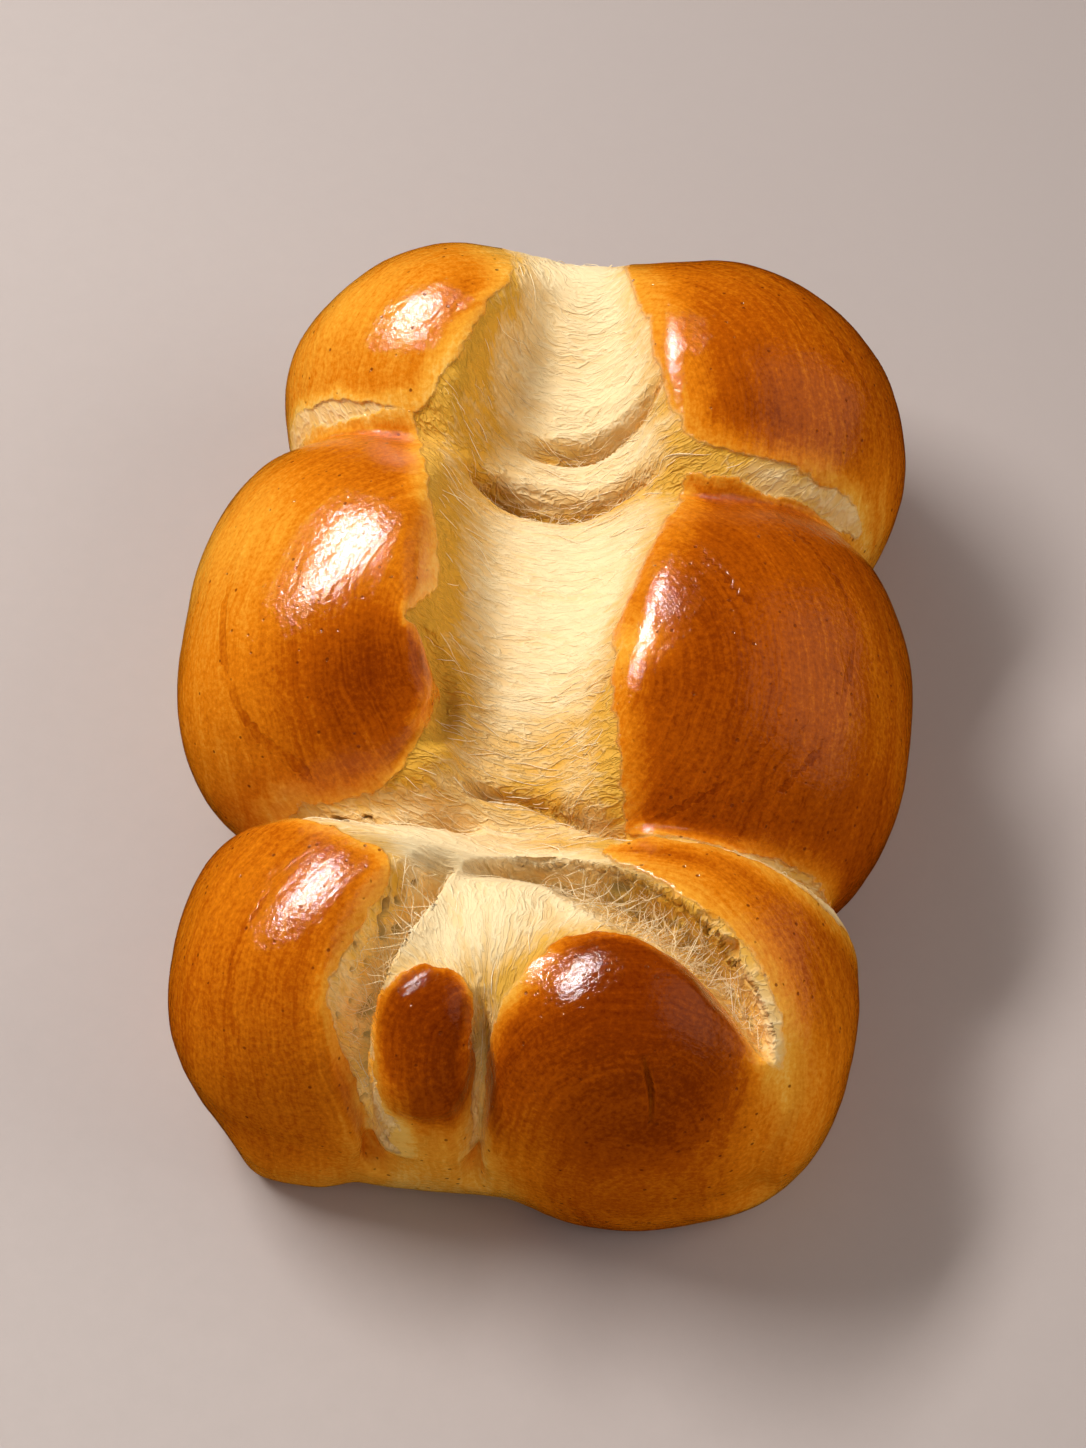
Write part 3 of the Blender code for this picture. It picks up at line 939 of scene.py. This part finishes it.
def baked_dough():
    material = bpy.data.materials.new("baked_dough")
    material.use_nodes = True
    n = Dough(material.node_tree)
    shader = material.node_tree.nodes["Principled BSDF"]
    fade = n.attribute("fade")
    wavy = n.plus(n.attribute("into"), n.centred(n.speckle(1100, 2.0), 1.2))
    crumb = n.smooth(n.math("DIVIDE", wavy, fade), -0.28, 0.28)
    crust_colour, crust_height = crust_of(n, wavy, fade)
    crumb_colour, crumb_height = crumb_of(n, wavy)
    n.put(shader.inputs["Base Color"], n.mix(crumb, crust_colour, crumb_colour))
    n.put(shader.inputs["Roughness"], n.span(crumb, 0.0, 0.6, 0.075, 0.85))
    shader.inputs["Specular IOR Level"].default_value = 0.3
    # Painted glow: the crumb's hollows, less where they are painted golden, give off a little light.
    unlit = n.math("SUBTRACT", n.attribute("hollow"), n.times(n.attribute("golden"), 1.2))
    glow = n.times(crumb, n.span(unlit, 0.2, 0.8))
    n.put(shader.inputs["Emission Color"], n.mix(glow, (0, 0, 0, 1), CRUMB_PAINTED_GLOW))
    shader.inputs["Emission Strength"].default_value = 1.0
    height = n.add("ShaderNodeMix", {0: crumb, 2: crust_height, 3: crumb_height})
    bump = n.add("ShaderNodeBump", {"Strength": 0.6, "Distance": 0.0006, "Height": height.outputs[0]})
    n.put(shader.inputs["Normal"], bump)
    return material


def silk_strand():
    material = bpy.data.materials.new("silk_strand")
    material.use_nodes = True
    n = Nodes(material.node_tree)
    shader = material.node_tree.nodes["Principled BSDF"]
    place = n.add("ShaderNodeTexCoord").outputs["Object"]
    mottle = n.add("ShaderNodeTexNoise", {"Vector": place, "Scale": 90.0})
    n.put(shader.inputs["Base Color"], n.mix(mottle.outputs[0], STRAND_GOLD, STRAND_PALE))
    shader.inputs["Roughness"].default_value = 0.6
    return material


# The floor's mottled colours, and the darker one that it fades to at the back right: painted shade, a
# fall-off of the light painted onto the floor.
FLOOR_LOW = (0.462, 0.405, 0.381, 1)
FLOOR_HIGH = (0.505, 0.443, 0.417, 1)
FLOOR_PAINTED_SHADE = (0.355, 0.302, 0.284, 1)
FLOOR_HALF = 3.0


def paper_floor():
    material = bpy.data.materials.new("pale_floor")
    material.use_nodes = True
    n = Nodes(material.node_tree)
    shader = material.node_tree.nodes["Principled BSDF"]
    place = n.add("ShaderNodeTexCoord").outputs["Object"]
    inputs = {"Vector": place, "Scale": 160.0, "Detail": 6.0, "Roughness": 0.7}
    mottle = n.add("ShaderNodeTexNoise", inputs)
    apart = n.add("ShaderNodeSeparateXYZ", {0: place})
    # Painted shade: the floor turns darker towards the back right, as if less light fell there.
    away = n.span(n.plus(apart.outputs["X"], apart.outputs["Y"]), -0.30, 0.45)
    near_colour = n.mix(mottle.outputs[0], FLOOR_LOW, FLOOR_HIGH)
    n.put(shader.inputs["Base Color"], n.mix(away, near_colour, FLOOR_PAINTED_SHADE))
    shader.inputs["Roughness"].default_value = 0.9
    return material


def make_floor():
    corners = [(x * FLOOR_HALF, y * FLOOR_HALF, 0) for x, y in ((-1, -1), (1, -1), (1, 1), (-1, 1))]
    mesh = bpy.data.meshes.new("floor")
    mesh.from_pydata(corners, [], [(0, 1, 2, 3)])
    mesh.materials.append(paper_floor())
    floor = bpy.data.objects.new("floor", mesh)
    floor.visible_glossy = False
    bpy.context.scene.collection.objects.link(floor)
    return floor


# The camera: how far round from the front and how high it stands, its distance, what it looks at in the
# drawing, and its focal length for a picture as high as the film.
CAMERA_ROUND, CAMERA_HIGH = 6.0, 60.0
CAMERA_FAR = 750
CAMERA_AIM = (0, 0, 30)
FOCAL_SHARE = 3300 / 1448
FILM = 36.0


def make_camera():
    data = bpy.data.cameras.new("camera")
    data.sensor_fit = "VERTICAL"
    data.sensor_height = FILM
    data.lens = FOCAL_SHARE * FILM
    data.clip_start = 0.01
    camera = bpy.data.objects.new("camera", data)
    turn, rise = np.radians(CAMERA_ROUND), np.radians(CAMERA_HIGH)
    back = Vector((np.sin(turn) * np.cos(rise), -np.cos(turn) * np.cos(rise), np.sin(rise)))
    aim = Vector((np.array(CAMERA_AIM) - MIDDLE) * MM)
    camera.location = aim + back * CAMERA_FAR * MM
    camera.rotation_euler = back.to_track_quat("Z", "Y").to_euler()
    bpy.context.scene.collection.objects.link(camera)
    bpy.context.scene.camera = camera


# Lamps: place, size, watts, colour, whether it shows in the glaze, and whether it lights the loaf.
LAMPS = {
    "key": ((-0.72, 0.35, 1.06), (0.70, 0.24), 18, (1.0, 0.98, 0.955), False, True),
    "window": ((-0.70, 0.62, 1.06), (0.85, 0.10), 52, (1.0, 0.98, 0.95), True, False),
    "fill": ((1.5, 0.1, 1.0), (1.2, 1.2), 11, (1.0, 0.93, 0.86), False, True),
    "sheen": ((1.5, 0.3, 1.0), (1.9, 1.9), 7, (1.0, 0.84, 0.62), True, False),
    "front": ((0.4, -1.5, 0.30), (0.8, 0.4), 3, (1.0, 0.90, 0.78), False, True),
}
LAMP_AIM = (0, 0, 0.04)
WORLD_COLOUR = (1.0, 0.93, 0.90, 1)
WORLD_STRENGTH = 0.26


def soft_light(name, place, size, power, colour, shines, lights):
    """A rectangular lamp that faces the loaf's middle."""
    data = bpy.data.lights.new(name, "AREA")
    data.shape = "RECTANGLE"
    data.size, data.size_y = size
    data.energy = power
    data.color = colour
    lamp = bpy.data.objects.new(name, data)
    lamp.location = place
    lamp.rotation_euler = (Vector(place) - Vector(LAMP_AIM)).to_track_quat("Z", "Y").to_euler()
    lamp.visible_glossy = shines
    lamp.visible_diffuse = lights
    bpy.context.scene.collection.objects.link(lamp)


def light_scene():
    for name, settings in LAMPS.items():
        soft_light(name, *settings)
    world = bpy.data.worlds.new("studio")
    world.use_nodes = True
    background = world.node_tree.nodes["Background"]
    background.inputs["Color"].default_value = WORLD_COLOUR
    background.inputs["Strength"].default_value = WORLD_STRENGTH
    world.cycles_visibility.glossy = False
    bpy.context.scene.world = world
    bpy.context.scene.view_settings.view_transform = "Standard"


loaf, loaf_points, loaf_masks = make_loaf(baked_dough())
strands = make_strands(loaf_points, loaf_masks, silk_strand())
for piece in (loaf, strands):
    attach(piece, "root")
    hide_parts("loaf")
make_floor()
make_camera()
light_scene()
